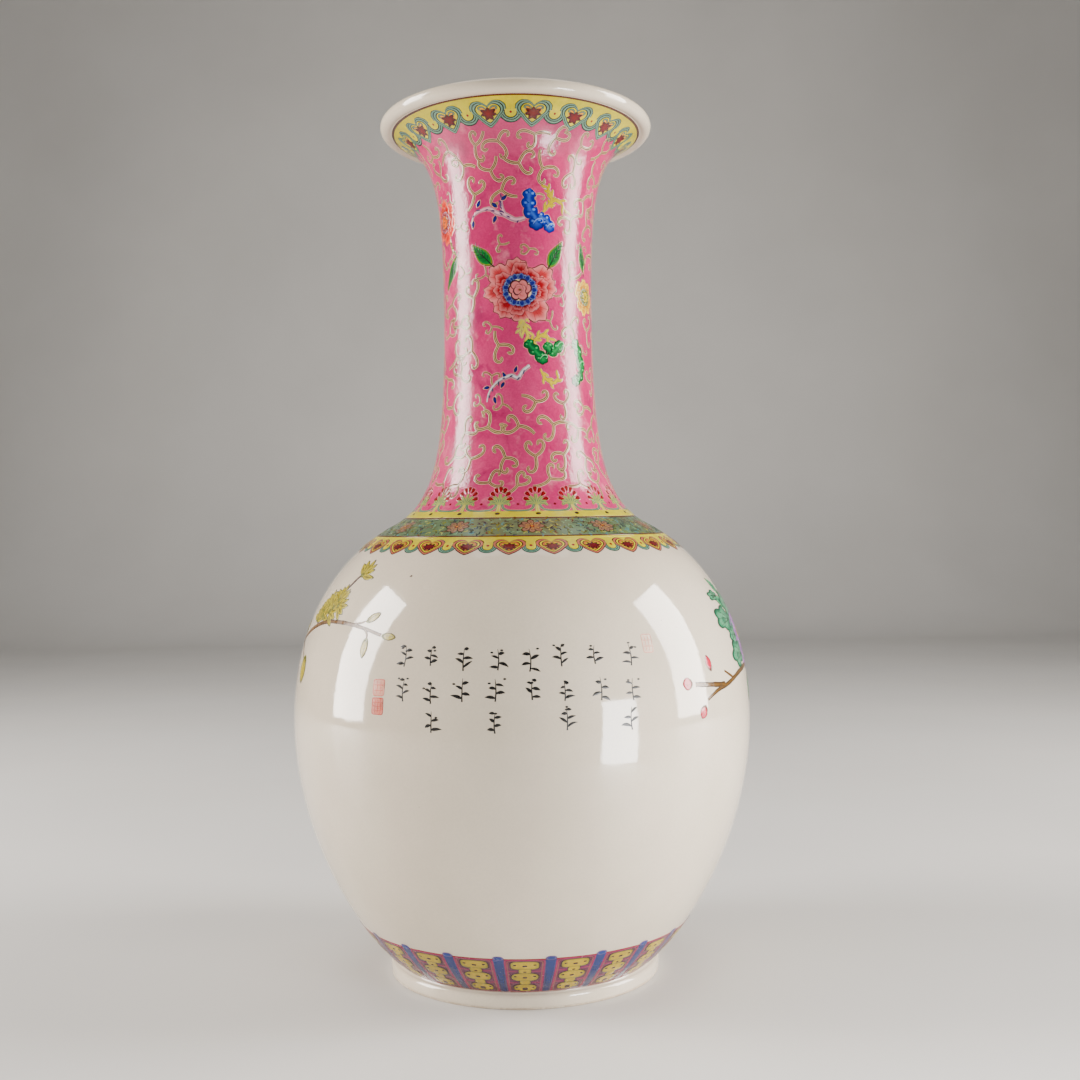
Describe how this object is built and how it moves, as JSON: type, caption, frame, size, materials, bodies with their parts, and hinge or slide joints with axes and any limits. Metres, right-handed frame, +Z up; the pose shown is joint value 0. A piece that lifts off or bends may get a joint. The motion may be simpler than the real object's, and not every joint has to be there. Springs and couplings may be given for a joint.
{
  "type": "porcelain bottle vase",
  "caption": "Tall porcelain bottle vase with a round belly, a long narrow neck, a flared rolled mouth and a turned foot ring.",
  "frame": {"origin": "centre of the foot's flat rim, on the surface that the vase stands on", "axes": "+Z up the axis of the vase to its mouth, -Y towards the painted front"},
  "size_m": [0.2464, 0.2464, 0.4601],
  "materials": {
    "glazed_porcelain": "gloss",
    "clay_slip": "matte",
    "overglaze_enamel": "gloss",
    "bare_porcelain": "matte"
  },
  "bodies": {
    "root": {"base": "glazed_porcelain", "lower_body": "glazed_porcelain", "upper_body": "glazed_porcelain", "neck": "glazed_porcelain", "mouth": "glazed_porcelain", "base_seam": "clay_slip", "girth_seam": "clay_slip", "shoulder_seam": "clay_slip", "mouth_seam": "clay_slip"}
  },
  "joints": []
}
